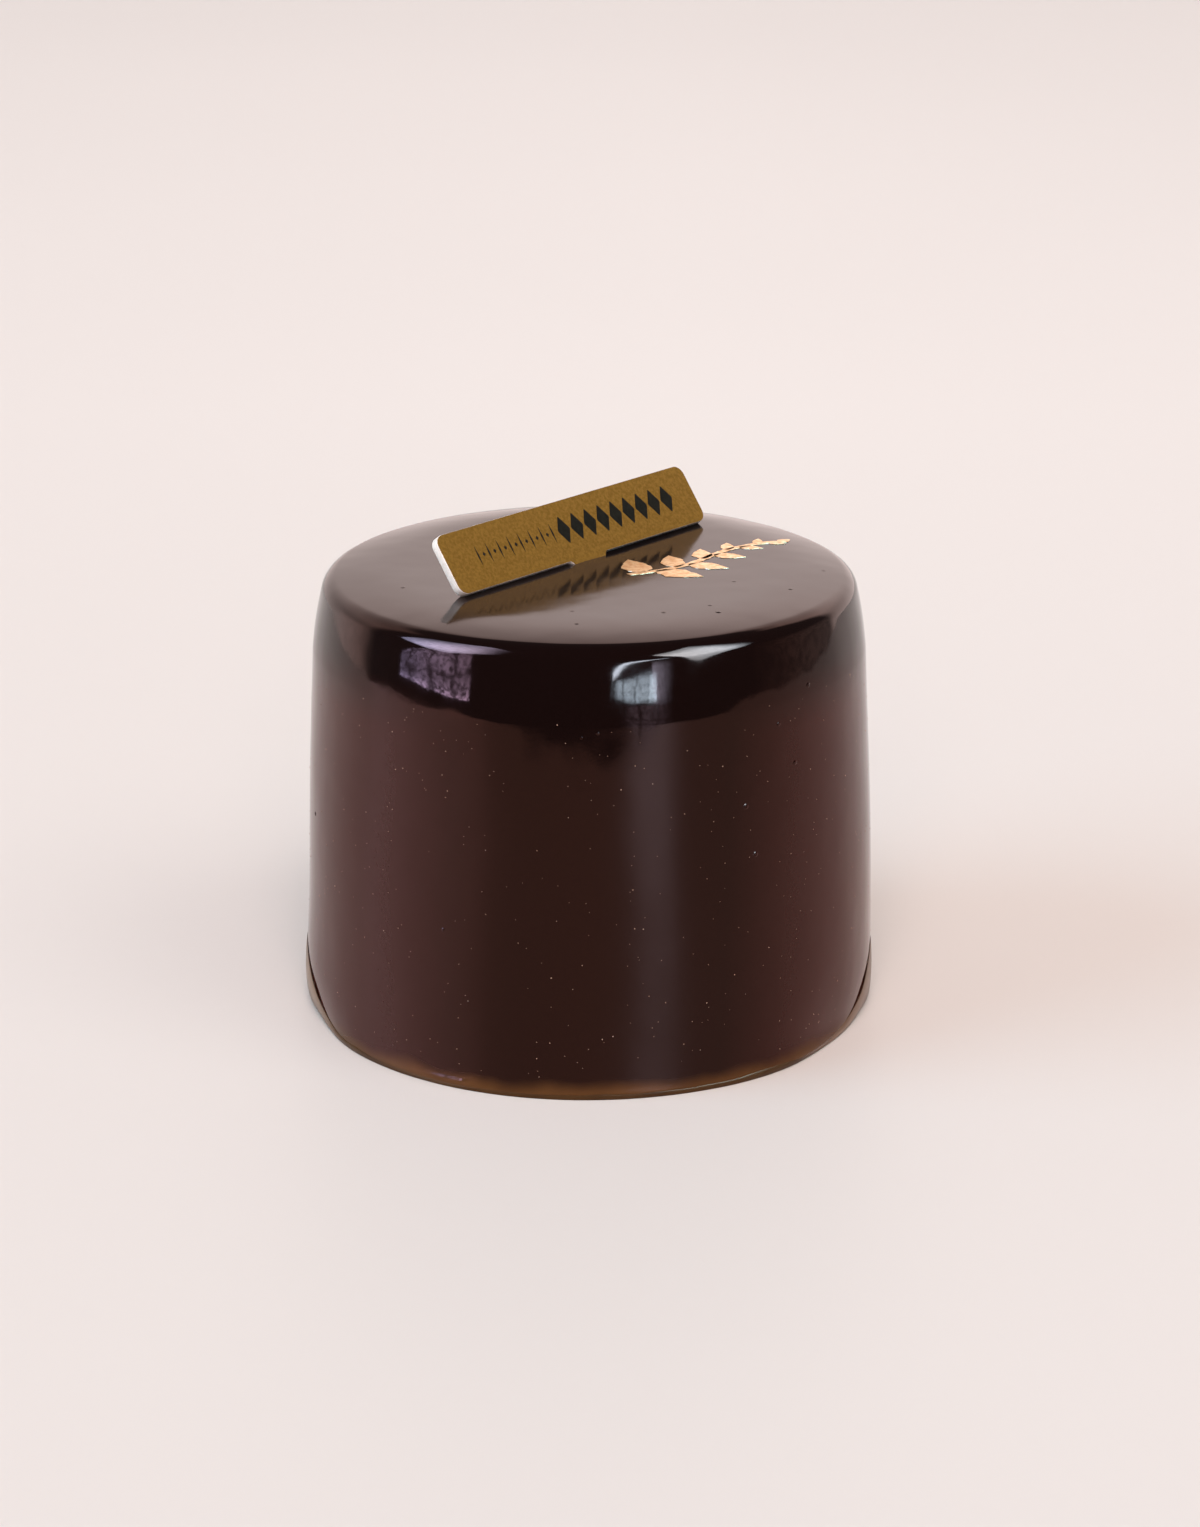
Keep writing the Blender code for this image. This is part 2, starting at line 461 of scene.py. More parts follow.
def amber_material():
    """The same glaze where it ran thin and set on the table: a clear amber film with a soft shine, with painted
    light and shade on it: a beige glow where it is seen edge-on at the sides, and shade in its crease, under it
    and on its right.
    """
    material, tree = new_material("thin_set_glaze")
    place = node(tree, "ShaderNodeTexCoord")
    streaks = node(
        tree,
        "ShaderNodeTexNoise",
        inputs={"Scale": 160.0, "Detail": 3.0},
        links={"Vector": place.outputs["Object"]},
    )
    across = node(tree, "ShaderNodeSeparateXYZ", links={"Vector": place.outputs["Object"]})
    shifted = node(
        tree,
        "ShaderNodeMath",
        operation="ADD",
        inputs={1: 2.5 * MM},
        links={0: across.outputs["X"]},
    )
    apart = node(tree, "ShaderNodeMath", operation="ABSOLUTE", links={0: shifted.outputs[0]})
    sides = node(
        tree,
        "ShaderNodeMapRange",
        inputs={"From Min": 31 * MM, "From Max": 36 * MM, "To Min": 0.0, "To Max": 1.0},
        links={"Value": apart.outputs[0]},
    )
    front = node(
        tree,
        "ShaderNodeMix",
        data_type="RGBA",
        inputs={6: linear("2A180D"), 7: linear("523A1E")},
        links={0: streaks.outputs["Fac"]},
    )
    # Painted glow: at the left and right sides, where the film is seen edge-on, its colour switches from the dark
    # front colours to the beige ramp, as if lit through its thin edge
    slant = node(tree, "ShaderNodeLayerWeight", inputs={"Blend": 0.5})
    edge_on = node(
        tree,
        "ShaderNodeMapRange",
        inputs={"From Min": 0.45, "From Max": 0.7, "To Min": 0.0, "To Max": 1.0},
        links={"Value": slant.outputs["Facing"]},
    )
    painted_edge_glow = node(
        tree,
        "ShaderNodeMath",
        operation="MULTIPLY",
        links={0: sides.outputs[0], 1: edge_on.outputs[0]},
    )
    level = node(tree, "ShaderNodeAttribute", attribute_name=LEVEL)
    fold = node(tree, "ShaderNodeValToRGB", links={"Fac": level.outputs["Fac"]})
    stops = fold.color_ramp.elements
    for position, colour in FILM_COLOURS_AND_PAINTED_SHADE[:-2]:
        stops.new(position)
    for stop, (position, colour) in zip(stops, FILM_COLOURS_AND_PAINTED_SHADE):
        stop.position = position
        stop.color = linear(colour)
    # Painted shade: from 25 to 37 mm along X, on the right, the film's colour is darkened towards brown (4A3424)
    painted_right_shade = node(
        tree,
        "ShaderNodeMapRange",
        inputs={"From Min": 25 * MM, "From Max": 37 * MM, "To Min": 0.0, "To Max": 0.4},
        links={"Value": across.outputs["X"]},
    )
    folded = node(
        tree,
        "ShaderNodeMix",
        data_type="RGBA",
        inputs={7: linear("4A3424")},
        links={0: painted_right_shade.outputs[0], 6: fold.outputs[0]},
    )
    colour = node(
        tree,
        "ShaderNodeMix",
        data_type="RGBA",
        links={0: painted_edge_glow.outputs[0], 6: front.outputs[2], 7: folded.outputs[2]},
    )
    shader = node(
        tree,
        "ShaderNodeBsdfPrincipled",
        inputs={
            "IOR": 1.40,
            "Roughness": 0.3,
            "Specular IOR Level": 0.28,
            "Specular Tint": linear("F2C4A8"),
        },
        links={"Base Color": colour.outputs[2]},
    )
    node(tree, "ShaderNodeOutputMaterial", links={"Surface": shader.outputs[0]})
    return material


def plain_material(name, low, high, scale, roughness, metallic=0.0, ior=1.5, bump=0.0, bump_depth=0.02 * MM):
    """A surface whose colour and height vary between two values with a fine noise of this scale."""
    material, tree = new_material(name)
    place = node(tree, "ShaderNodeTexCoord")
    grain = node(
        tree,
        "ShaderNodeTexNoise",
        inputs={"Scale": scale, "Detail": 3.0, "Roughness": 0.6},
        links={"Vector": place.outputs["Object"]},
    )
    colour = node(tree, "ShaderNodeValToRGB", links={"Fac": grain.outputs["Fac"]})
    colour.color_ramp.elements[0].position = 0.36
    colour.color_ramp.elements[0].color = linear(low)
    colour.color_ramp.elements[1].position = 0.64
    colour.color_ramp.elements[1].color = linear(high)
    relief = node(
        tree,
        "ShaderNodeBump",
        inputs={"Strength": bump, "Distance": bump_depth},
        links={"Height": grain.outputs["Fac"]},
    )
    shader = node(
        tree,
        "ShaderNodeBsdfPrincipled",
        inputs={"IOR": ior, "Roughness": roughness, "Metallic": metallic},
        links={"Base Color": colour.outputs[0], "Normal": relief.outputs[0]},
    )
    node(tree, "ShaderNodeOutputMaterial", links={"Surface": shader.outputs[0]})
    return material


def light_material(name, colour, strength, ramps=(), cloud=0.0, panes=None, waver=0.0, grain=18.0):
    """A lamp's or a window's light.

    Ramps are (axis, start, end, before, after) along the sheet. Cloud is how far it dims in patches and grain
    how fine they are, panes are (across, up, bar width), and waver is how crooked it all looks.
    """
    material, tree = new_material(name)
    place = node(tree, "ShaderNodeUVMap").outputs[0]
    if waver:
        shake = node(
            tree, "ShaderNodeTexNoise", inputs={"Scale": 6.0, "Detail": 2.0}, links={"Vector": place}
        )
        place = node(
            tree,
            "ShaderNodeVectorMath",
            operation="MULTIPLY_ADD",
            inputs={1: (waver, waver, waver)},
            links={0: shake.outputs["Color"], 2: place},
        ).outputs[0]
    split = node(tree, "ShaderNodeSeparateXYZ", links={"Vector": place})
    factors = []
    for axis, start, end, before, after in ramps:
        ramp = node(
            tree,
            "ShaderNodeMapRange",
            interpolation_type="SMOOTHSTEP",
            inputs={"From Min": start, "From Max": end, "To Min": before, "To Max": after},
            links={"Value": split.outputs[axis]},
        )
        factors.append(ramp.outputs[0])
    if cloud:
        patches = node(
            tree, "ShaderNodeTexNoise", inputs={"Scale": grain, "Detail": 4.0}, links={"Vector": place}
        )
        dimmed = node(
            tree,
            "ShaderNodeMapRange",
            inputs={"From Min": 0.41, "From Max": 0.59, "To Min": 1 - cloud, "To Max": 1.0},
            links={"Value": patches.outputs["Fac"]},
        )
        factors.append(dimmed.outputs[0])
    if panes:
        across, up, bar = panes
        grid = node(
            tree,
            "ShaderNodeTexBrick",
            offset=0.0,
            inputs={
                "Scale": 1.0,
                "Brick Width": 1.0 / across,
                "Row Height": 1.0 / up,
                "Mortar Size": bar,
                "Mortar Smooth": 0.6,
            },
            links={"Vector": place},
        )
        barred = node(
            tree,
            "ShaderNodeMapRange",
            inputs={"From Min": 0.0, "From Max": 1.0, "To Min": 1.0, "To Max": 0.2},
            links={"Value": grid.outputs["Fac"]},
        )
        factors.append(barred.outputs[0])
    glow = node(tree, "ShaderNodeEmission", inputs={"Color": linear(colour), "Strength": strength})
    level = None
    for factor in factors:
        level = node(
            tree,
            "ShaderNodeMath",
            operation="MULTIPLY",
            inputs={} if level else {1: strength},
            links={0: factor, 1: level} if level else {0: factor},
        ).outputs[0]
    if level:
        tree.links.new(level, glow.inputs["Strength"])
    clear = node(tree, "ShaderNodeBsdfTransparent")
    both = node(tree, "ShaderNodeAddShader", links={0: glow.outputs[0], 1: clear.outputs[0]})
    node(tree, "ShaderNodeOutputMaterial", links={"Surface": both.outputs[0]})
    return material


# ================================================================ settings
class GlazeSettings(bpy.types.PropertyGroup):
    around: IntProperty(
        name="Around",
        description="Points in each ring of the glaze before it is smoothed",
        default=96,
        min=24,
        max=128,
    )
    ripple: FloatProperty(
        name="Ripple",
        description="How deep the glaze's slow ripples are",
        default=0.028 * MM,
        unit="LENGTH",
    )
    ripple_width: FloatProperty(
        name="Ripple width",
        description="How far it is from one ripple to the next",
        default=6.0 * MM,
        unit="LENGTH",
    )


class FootSettings(bpy.types.PropertyGroup):
    amber_height: FloatProperty(
        name="Amber height",
        description="How high above the table the glaze is thin enough to let light through",
        default=3.0 * MM,
        unit="LENGTH",
    )
    rim_thickness: FloatProperty(
        name="Rim thickness",
        description="How thick the set film of glaze round the foot is",
        default=0.27 * MM,
        unit="LENGTH",
    )


class SpeckSettings(bpy.types.PropertyGroup):
    count: IntProperty(
        name="Count",
        description="How many tiny bubbles have set in the glaze of the side",
        default=950,
        min=0,
        max=1000,
    )
    smallest: FloatProperty(
        name="Smallest",
        description="The radius of the smallest bubble",
        default=0.045 * MM,
        unit="LENGTH",
    )
    largest: FloatProperty(
        name="Largest",
        description="The radius of the largest bubble",
        default=0.1 * MM,
        unit="LENGTH",
    )
    seed: IntProperty(name="Seed", description="Where the bubbles fall", default=7)


class PlaqueSettings(bpy.types.PropertyGroup):
    edge_rounding: FloatProperty(
        name="Edge rounding",
        description="The radius of the card's soft moulded edges",
        default=0.13 * MM,
        unit="LENGTH",
    )
    foil_margin: FloatProperty(
        name="Foil margin",
        description="How far the gold face stops short of the card's edge",
        default=0.05 * MM,
        unit="LENGTH",
    )


class LeafSettings(bpy.types.PropertyGroup):
    length: FloatProperty(
        name="Length",
        description="The length of the gold leaf sprig",
        default=28.0 * MM,
        unit="LENGTH",
    )
    turn: FloatProperty(
        name="Turn",
        description="Which way the sprig lies on the crown, from +X",
        default=math.radians(40.0),
        subtype="ANGLE",
    )


class StageSettings(bpy.types.PropertyGroup):
    floor_colour: FloatVectorProperty(
        name="Table colour",
        description="The colour of the pale table",
        default=(0.713, 0.702, 0.658),
        size=3,
        subtype="COLOR",
    )
    lens: FloatProperty(
        name="Lens",
        description="The camera's focal length in millimetres",
        default=90.14,
    )


class OperaCakeSettings(bpy.types.PropertyGroup):
    glaze: PointerProperty(type=GlazeSettings)
    foot: PointerProperty(type=FootSettings)
    specks: PointerProperty(type=SpeckSettings)
    plaque: PointerProperty(type=PlaqueSettings)
    leaf: PointerProperty(type=LeafSettings)
    stage: PointerProperty(type=StageSettings)


# ================================================================ pieces of the cake
class OPERACAKE_OT_poured_glaze(bpy.types.Operator):
    """Pours the dark glaze: crown, lip, side and foot, in one skin"""

    bl_idname = "opera_cake.poured_glaze"
    bl_label = "Poured glaze"

    def execute(self, context):
        settings = context.scene.opera_cake
        profile = glaze_profile()
        deselect()
        bpy.ops.mesh.primitive_circle_add(
            vertices=settings.glaze.around,
            radius=profile[0][0],
            fill_type="NOTHING",
            location=(0, 0, profile[0][1]),
        )
        bpy.ops.object.transform_apply(location=True, rotation=True, scale=True)
        glaze = named("poured_glaze")
        self.draw_rings(glaze, profile)
        self.close_ends(glaze, profile)
        for vertex in glaze.data.vertices:
            vertex.co = swollen(vertex.co)
        subdivide(glaze, 2)
        self.ripple(glaze, settings.glaze)
        self.dimple_crown(glaze)
        self.fold_foot(glaze)
        outward(glaze)
        finish_piece(glaze, glaze_material(settings.foot), replaces=CAKE_NODE)
        return {"FINISHED"}

    def draw_rings(self, glaze, profile):
        """Extrudes the crown's ring outwards and down, one ring for each point of the profile."""
        edit(glaze)
        bpy.ops.mesh.select_all(action="SELECT")
        for (r0, z0), (r1, z1) in zip(profile, profile[1:]):
            bpy.ops.mesh.extrude_region_move(TRANSFORM_OT_translate={"value": (0, 0, z1 - z0)})
            bpy.ops.transform.resize(value=(r1 / r0, r1 / r0, 1), center_override=(0, 0, 0))

    def close_ends(self, glaze, profile):
        """Closes the base with one face and the crown with a grid, so that no pole pinches its mirror."""
        bpy.ops.mesh.edge_face_add()
        first = profile[0][0] + 0.1 * MM
        pick(glaze, lambda v: v.co.z > CAKE_HEIGHT - 0.01 * MM and math.hypot(v.co.x, v.co.y) < first)
        bpy.ops.mesh.select_mode(type="EDGE")
        bpy.ops.mesh.fill_grid(span=len(glaze.data.vertices) // len(profile) // 4)
        bpy.ops.object.mode_set(mode="OBJECT")

    def ripple(self, glaze, settings):
        """Lets the surface wander a little, as a poured skin does."""
        cloud = bpy.data.textures.new("slow_ripple", "CLOUDS")
        cloud.noise_scale = settings.ripple_width
        cloud.noise_depth = 1
        apply_modifier(
            glaze,
            "DISPLACE",
            texture=cloud,
            texture_coords="LOCAL",
            strength=2 * settings.ripple,
            mid_level=0.5,
        )

    def dimple_crown(self, glaze):
        """Draws the glaze up round the plaque's neck and leaves a shallow dimple beside it."""
        neck = PLATE_FOOT.to_2d()
        along = Vector((math.cos(PLATE_TURN), math.sin(PLATE_TURN)))
        spots = (
            (neck + along * 4.6 * MM + Vector((0.9 * MM, -1.0 * MM)), 1.5 * MM, -0.12 * MM),
            (neck, 3.2 * MM, 0.12 * MM),
        )
        for vertex in glaze.data.vertices:
            if vertex.co.z < CAKE_HEIGHT - 1 * MM:
                continue
            flat = vertex.co.to_2d()
            for middle, reach, rise in spots:
                vertex.co.z += rise * math.exp(-(((flat - middle).length / reach) ** 2))


    def fold_foot(self, glaze):
        """Presses out the small folds where the glaze stopped as it ran off the foot."""
        folds = ((-120, 13, 0.9 * MM, 1.1 * MM, 0.24 * MM), (-38, 14, 1.2 * MM, 1.1 * MM, 0.24 * MM))
        for vertex in glaze.data.vertices:
            x, y, z = vertex.co
            if z > 6 * MM or math.hypot(x, y) < 30 * MM:
                continue
            for middle, spread, level, reach, size in folds:
                off = (math.degrees(math.atan2(y, x)) - middle + 180) % 360 - 180
                out = size * math.exp(-((off / spread) ** 2) - ((z - level) / reach) ** 2)
                scale = 1 + out / math.hypot(x, y)
                vertex.co.x *= scale
                vertex.co.y *= scale


class OPERACAKE_OT_foot_rim(bpy.types.Operator):
    """Lays the thin uneven film of glaze that ran down and set round the foot"""

    bl_idname = "opera_cake.foot_rim"
    bl_label = "Foot rim"

    def execute(self, context):
        settings = context.scene.opera_cake.foot
        foot_r = glaze_profile()[-4][0]
        deselect()
        bpy.ops.mesh.primitive_circle_add(vertices=12, radius=0.5, fill_type="NOTHING")
        rim = named("glaze_foot_rim")
        height = 1.0 * MM
        half = settings.rim_thickness / 2
        rim.data.transform(
            Matrix.Translation((foot_r, 0, height / 2))
            @ Matrix.Diagonal((2 * half, 1, height, 1))
            @ Matrix.Rotation(math.radians(90), 4, "X")
        )
        edit(rim)
        bpy.ops.mesh.select_all(action="SELECT")
        bpy.ops.mesh.spin(steps=240, angle=math.tau, center=(0, 0, 0), axis=(0, 0, 1))
        bpy.ops.object.mode_set(mode="OBJECT")
        outward(rim)
        for vertex in rim.data.vertices:
            angle = math.atan2(vertex.co.y, vertex.co.x)
            level = min(1.0, max(0.0, vertex.co.z / height))
            top = self.top(math.degrees(angle))
            spot, _ = side_spot(angle, max(0.35 * MM, level * top))
            side = (math.hypot(vertex.co.x, vertex.co.y) - foot_r) / half
            belly = (0.6 + 0.4 * math.sin(math.pi * level**0.8)) * math.sqrt(max(0.0, 1 - level**3))
            folded = min(1.0, max(0.0, (top - FILM_LOW) / (FILM_HIGH - FILM_LOW)))
            thickness_and_slant_glow = settings.rim_thickness * (0.65 + 0.3 * folded)
            out = spot.to_2d().length + (belly * thickness_and_slant_glow if side > 0.1 else side * half)
            vertex.co = (out * math.cos(angle), out * math.sin(angle), level * top)
        subdivide(rim, 1)
        outward(rim)
        levels = rim.data.attributes.new(LEVEL, "FLOAT", "POINT")
        for vertex, share in zip(rim.data.vertices, levels.data):
            share.value = vertex.co.z / self.top(math.degrees(math.atan2(vertex.co.y, vertex.co.x)))
        finish_piece(rim, amber_material())
        return {"FINISHED"}

    def top(self, degrees):
        """How high the film reaches at this angle from +X: highest at the left, then at the right."""
        tall = 0.0
        for middle, spread, rise in FOLDS:
            off = (degrees - middle + 180) % 360 - 180
            tall += rise * math.exp(-((off / spread) ** 2))
        return FILM_LOW + (tall + 0.3 * noise.noise(Vector((degrees / 7, 0, 3.1)))) * MM


class OPERACAKE_OT_bubbles(bpy.types.Operator):
    """Scatters the tiny bubbles that have set in the glaze of the side"""

    bl_idname = "opera_cake.bubbles"
    bl_label = "Bubbles"

    def execute(self, context):
        settings = context.scene.opera_cake.specks
        chance = random.Random(settings.seed)
        deselect()
        bpy.ops.mesh.primitive_ico_sphere_add(subdivisions=1, radius=1.0)
        pattern = named("bubble_pattern")
        edit(pattern)
        pick(pattern, lambda v: v.co.z > 0.9)
        bpy.ops.mesh.bevel(affect="VERTICES", offset=0.35, segments=1)
        bpy.ops.object.mode_set(mode="OBJECT")
        made = []
        for _ in range(settings.count):
            angle = chance.uniform(0, math.tau)
            height = chance.uniform(3, 52) * MM
            size = settings.smallest + (settings.largest - settings.smallest) * chance.random() ** 3
            spot, out = side_spot(angle, height)
            turned = out.to_track_quat("Z", "Y").to_matrix().to_4x4()
            flat = Matrix.Diagonal((size, size, size * 0.5, 1.0))
            made.append(copy_of(pattern, Matrix.Translation(spot) @ turned @ flat))
        discard(pattern)
        bubbles = join(made, "glaze_bubbles")
        gold = plain_material("set_air_bubble", "7A5E4C", "BC9E88", 900.0, 0.35)
        finish_piece(bubbles, gold)
        return {"FINISHED"}


class OPERACAKE_OT_blisters(bpy.types.Operator):
    """Raises the few larger blisters on the side and the faint ones on the crown"""

    bl_idname = "opera_cake.blisters"
    bl_label = "Blisters"

    # Angle from +X in degrees, height, radius
    SIDE = (
        (-57.5, 38.8, 0.42),
        (-44.5, 43.0, 0.34),
        (-40.0, 53.0, 0.36),
        (-49.0, 49.0, 0.30),
        (-88.3, 50.8, 0.28),
        (-91.5, 50.2, 0.22),
        (-120.0, 22.0, 0.26),
        (-55.3, 31.9, 0.40),
        (24.0, 40.0, 0.36),
        (78.0, 33.0, 0.40),
        (140.0, 47.0, 0.34),
        (195.0, 30.0, 0.30),
    )
    # X and Y in millimetres, radius
    CROWN = (
        (-25.0, -11.5, 0.42),
        (-2.2, -23.0, 0.36),
        (9.8, -23.5, 0.36),
        (17.0, -23.0, 0.40),
        (-1.6, -28.4, 0.30),
        (16.0, -20.2, 0.34),
        (19.6, -8.8, 0.40),
        (27.0, -12.0, 0.38),
        (32.0, -2.0, 0.38),
        (-12.0, 22.0, 0.42),
        (9.0, 27.0, 0.36),
    )

    def execute(self, context):
        pattern = self.blister()
        made = []
        for degrees, height, radius in self.SIDE:
            spot, out = side_spot(math.radians(degrees), height * MM)
            made.append(self.placed(pattern, spot, out, radius * MM))
        for x, y, radius in self.CROWN:
            spot = Vector((x * MM, y * MM, self.crown_height(math.hypot(x, y) * MM)))
            made.append(self.placed(pattern, spot, Vector((0, 0, 1)), radius * MM))
        discard(pattern)
        blisters = join(made, "glaze_blisters")
        outward(blisters)
        finish_piece(blisters, glaze_material(context.scene.opera_cake.foot))
        return {"FINISHED"}

    def blister(self):
        """A low dome with a dimpled top, one unit in radius."""
        deselect()
        bpy.ops.mesh.primitive_circle_add(vertices=16, radius=1.0, fill_type="NGON")
        pattern = named("blister_pattern")
        edit(pattern)
        bpy.ops.mesh.select_all(action="SELECT")
        for inset, rise in ((0.25, 0.10), (0.25, 0.07), (0.2, -0.02), (0.15, -0.05)):
            bpy.ops.mesh.inset(thickness=inset, depth=rise)
        bpy.ops.object.mode_set(mode="OBJECT")
        return pattern

    def placed(self, pattern, spot, out, radius):
        turned = out.to_track_quat("Z", "Y").to_matrix().to_4x4()
        sunk = Matrix.Translation(spot - out * radius * 0.05)
        return copy_of(pattern, sunk @ turned @ Matrix.Diagonal((radius, radius, radius, 1.0)))

    def crown_height(self, radius):
        profile = glaze_profile()
        if radius <= profile[2][0]:
            return CAKE_HEIGHT
        drop = radius - profile[2][0]
        return CAKE_HEIGHT - drop * drop / (2 * CROWN_ROLL_RADIUS)


# ================================================================ the plaque
def plaque_placement():
    """Stands the flat plaque on its lower edge, leans it back and turns it on the crown."""
    upright = Matrix.Rotation(math.radians(90), 4, "X")
    leaned = Matrix.Rotation(-PLATE_LEAN, 4, "X")
    turned = Matrix.Rotation(PLATE_TURN, 4, "Z")
    return Matrix.Translation(PLATE_FOOT) @ turned @ leaned @ upright


def plaque_sheet(name, margin, stem_depth):
    """The plaque's flat outline as one face, drawn this far inside its edge, in its own plane."""
    deselect()
    bpy.ops.mesh.primitive_plane_add(size=1.0)
    sheet = named(name)
    length = PLATE_LENGTH - 2 * margin
    height = PLATE_HEIGHT - 2 * margin
    sheet.data.transform(
        Matrix.Translation((0, PLATE_HEIGHT / 2, 0)) @ Matrix.Diagonal((length, height, 1, 1))
    )
    half_neck = STEM_WIDTH / 2 - margin
    low = margin
    edit(sheet)
    for x in (-half_neck - NECK_FLARE, half_neck + NECK_FLARE):
        bpy.ops.mesh.select_all(action="SELECT")
        bpy.ops.mesh.bisect(plane_co=(x, 0, 0), plane_no=(1, 0, 0))
    pick(sheet, lambda v: abs(v.co.x) > length / 2 - 0.1 * MM)
    bpy.ops.mesh.bevel(affect="VERTICES", offset=PLATE_CORNER_RADIUS - margin, segments=8)
    pick(
        sheet,
        lambda e: abs(middle_of(e).x) < 0.1 * MM and middle_of(e).y < low + 0.1 * MM,
        "EDGE",
    )
    steps = (
        (-NECK_FLARE * 0.5, half_neck + NECK_FLARE * 0.35, half_neck + NECK_FLARE),
        (-NECK_FLARE * 0.5 - margin, half_neck, half_neck + NECK_FLARE * 0.35),
        (-(stem_depth / 2 - NECK_FLARE), half_neck, half_neck),
        (-stem_depth / 2, STEM_TIP_WIDTH / 2, half_neck),
    )
    for drop, wide, was in steps:
        bpy.ops.mesh.extrude_region_move(TRANSFORM_OT_translate={"value": (0, drop, 0)})
        bpy.ops.transform.resize(value=(wide / was, 1, 1), center_override=(0, 0, 0))
    bpy.ops.mesh.select_all(action="SELECT")
    bpy.ops.mesh.dissolve_faces()
    bpy.ops.object.mode_set(mode="OBJECT")
    return sheet


def thicken(sheet, back, front):
    """Gives a flat sheet a body from this height behind its plane to this height in front of it."""
    sheet.data.transform(Matrix.Translation((0, 0, back)))
    edit(sheet)
    bpy.ops.mesh.select_all(action="SELECT")
    bpy.ops.mesh.extrude_region_move(TRANSFORM_OT_translate={"value": (0, 0, front - back)})
    bpy.ops.mesh.select_all(action="SELECT")
    bpy.ops.mesh.normals_make_consistent(inside=False)
    bpy.ops.object.mode_set(mode="OBJECT")


def round_edges(piece, radius, segments):
    apply_modifier(
        piece,
        "BEVEL",
        width=radius,
        segments=segments,
        limit_method="ANGLE",
        angle_limit=math.radians(50),
    )


class OPERACAKE_OT_plaque(bpy.types.Operator):
    """Cuts the white card with its stem, and lays the gold face on its front"""

    bl_idname = "opera_cake.plaque"
    bl_label = "Plaque"

    def execute(self, context):
        settings = context.scene.opera_cake.plaque
        card = plaque_sheet("plaque_card", 0.0, STEM_DEPTH)
        thicken(card, -PLATE_THICKNESS, 0.0)
        round_edges(card, settings.edge_rounding, 3)
        card.data.transform(plaque_placement())
        white = plain_material("white_core_card", "E9E5DC", "F4F1EA", 2500.0, 0.55, bump=0.2)
        finish_piece(card, white, replaces=PLAQUE_NODE, smooth=False)
        card.data.shade_smooth()
        foil = plaque_sheet("plaque_gold_face", settings.foil_margin, STEM_DEPTH * 0.6)
        thicken(foil, -0.05 * MM, 0.03 * MM)
        foil.data.transform(plaque_placement())
        gold = plain_material("satin_gold_print", "9E7B33", "B69040", 2200.0, 0.26, metallic=0.6, bump=0.3)
        finish_piece(foil, gold, smooth=False)
        return {"FINISHED"}


class OPERACAKE_OT_plaque_print(bpy.types.Operator):
    """Prints a plain border of fine lines and lozenges on the plaque's gold face"""

    bl_idname = "opera_cake.plaque_print"
    bl_label = "Plaque print"

    def execute(self, context):
        made = []
        for i in range(9):
            x = (-2.2 + 2.75 * i) * MM
            made.append(self.lozenge(x, PLATE_HEIGHT * 0.52, 1.25 * MM, 2.1 * MM))
        for i in range(8):
            x = (-19.6 + 2.15 * i) * MM
            made.append(self.lozenge(x, PLATE_HEIGHT * 0.52, 0.16 * MM, 1.5 * MM))
        for i in range(7):
            x = (-18.5 + 2.15 * i) * MM
            made.append(self.lozenge(x, PLATE_HEIGHT * 0.52, 0.28 * MM, 0.34 * MM))
        ink = join(made, "plaque_print")
        ink.data.transform(plaque_placement())
        dark = plain_material("screen_printed_ink", "12140E", "1B1D17", 1800.0, 0.7, ior=1.36)
        finish_piece(ink, dark, smooth=False)
        return {"FINISHED"}

    def lozenge(self, x, y, half_width, half_height):
        """One printed lozenge, a thin raised plate with pinched sides."""
        deselect()
        bpy.ops.mesh.primitive_circle_add(vertices=4, radius=1.0, fill_type="NGON")
        piece = named("lozenge")
        edit(piece)
        bpy.ops.mesh.select_all(action="SELECT")
        bpy.ops.mesh.bevel(affect="VERTICES", offset=0.12, segments=3)
        bpy.ops.object.mode_set(mode="OBJECT")
        piece.data.transform(Matrix.Translation((x, y, 0)) @ Matrix.Diagonal((half_width, half_height, 1, 1)))
        thicken(piece, 0.02 * MM, 0.05 * MM)
        return piece


